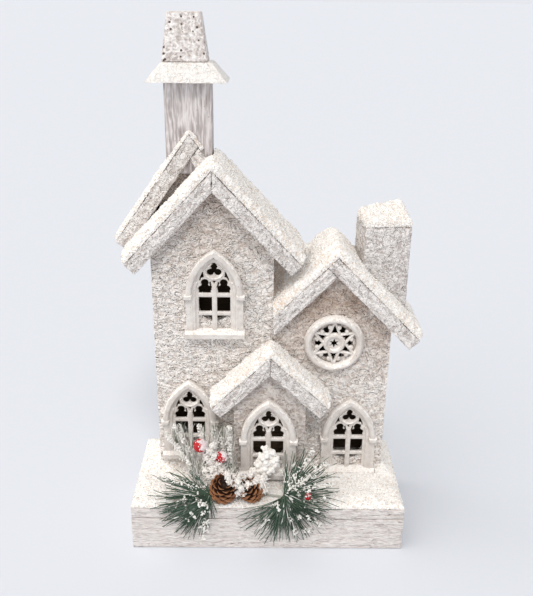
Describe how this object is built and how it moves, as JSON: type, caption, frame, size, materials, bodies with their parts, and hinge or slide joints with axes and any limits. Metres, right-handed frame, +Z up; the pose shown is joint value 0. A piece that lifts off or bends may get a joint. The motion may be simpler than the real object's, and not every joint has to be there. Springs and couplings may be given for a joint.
{
  "type": "miniature village house",
  "caption": "Snowy lighted miniature village house with a gabled tower, steep rear gable, tall chimney, side house, gabled porch, gothic tracery windows and a pine pick on a wooden base.",
  "frame": {"origin": "centre of the underside of the base", "axes": "+Z up, +X to the right as seen from the front, +Y from the front to the back"},
  "size_m": [0.261, 0.1164, 0.445],
  "materials": {
    "plaster": "rough glittered plaster coat",
    "roof_board": "rough glittered plaster coat",
    "base_board": "brushed paint over wood",
    "raw_board": "bare hardboard",
    "snow": "flocked snow",
    "frame_resin": "cast resin",
    "needles": "matt, flecked with flock",
    "cone": "natural cone scales",
    "berry": "lacquered",
    "black_plastic": "moulded",
    "knob_plastic": "moulded",
    "spring_steel": "nickel plated",
    "cell_can": "plain plastic sleeve",
    "lamp_lens": "clear moulded dome"
  },
  "bodies": {
    "house": {"base_back_rail": "base_board", "base_bottom_panel": "raw_board", "base_front_rail": "base_board", "base_left_rail": "base_board", "base_right_rail": "base_board", "base_snow": "snow", "base_top_board": "base_board", "battery_box": "black_plastic", "battery_cell_back": "cell_can", "battery_cell_front": "cell_can", "berry_spray": "berry", "contact_bridge": "spring_steel", "contact_negative": "spring_steel", "contact_positive": "spring_steel", "door_window_frame": "frame_resin", "frosted_bud_cluster": "snow", "frosted_twigs": "snow", "house_back_wall": "plaster", "house_chimney": "plaster", "house_chimney_snow": "snow", "house_front_wall": "plaster", "house_right_wall": "plaster", "house_roof_left_board": "roof_board", "house_roof_right_board": "roof_board", "house_roof_snow": "snow", "lamp_house": "lamp_lens", "lamp_lead_house": "black_plastic", "lamp_lead_tower": "black_plastic", "lamp_tower": "lamp_lens", "lower_left_window_frame": "frame_resin", "lower_right_window_frame": "frame_resin", "pine_cone_large": "cone", "pine_cone_small": "cone", "pine_sprig_left": "needles", "pine_sprig_right": "needles", "porch_front_wall": "plaster", "porch_left_wall": "plaster", "porch_right_wall": "plaster", "porch_roof_left_board": "roof_board", "porch_roof_right_board": "roof_board", "porch_roof_snow": "snow", "rear_gable_wall": "plaster", "rear_roof_left_board": "roof_board", "rear_roof_right_board": "roof_board", "rear_roof_snow": "snow", "round_window_frame": "frame_resin", "switch_body": "spring_steel", "tall_chimney_cap": "roof_board", "tall_chimney_shaft": "roof_board", "tall_chimney_skirt": "roof_board", "tower_back_wall": "plaster", "tower_front_wall": "plaster", "tower_left_wall": "plaster", "tower_right_wall": "plaster", "tower_roof_left_board": "roof_board", "tower_roof_right_board": "roof_board", "tower_roof_snow": "snow", "upper_window_frame": "frame_resin"},
    "battery_cover": {"battery_cover": "black_plastic"},
    "switch_slider": {"switch_slider": "knob_plastic"}
  },
  "joints": [
    {"name": "battery_cover_hinge", "type": "hinge", "parent": "house", "child": "battery_cover", "pos_m": [0.02595, -0.008, 0.00235], "axis": [0, 1, 0], "range_deg": [0, 95]},
    {"name": "switch_slide", "type": "slide", "parent": "house", "child": "switch_slider", "axis": [0, 1, 0], "range_m": [0, 0.004]}
  ]
}
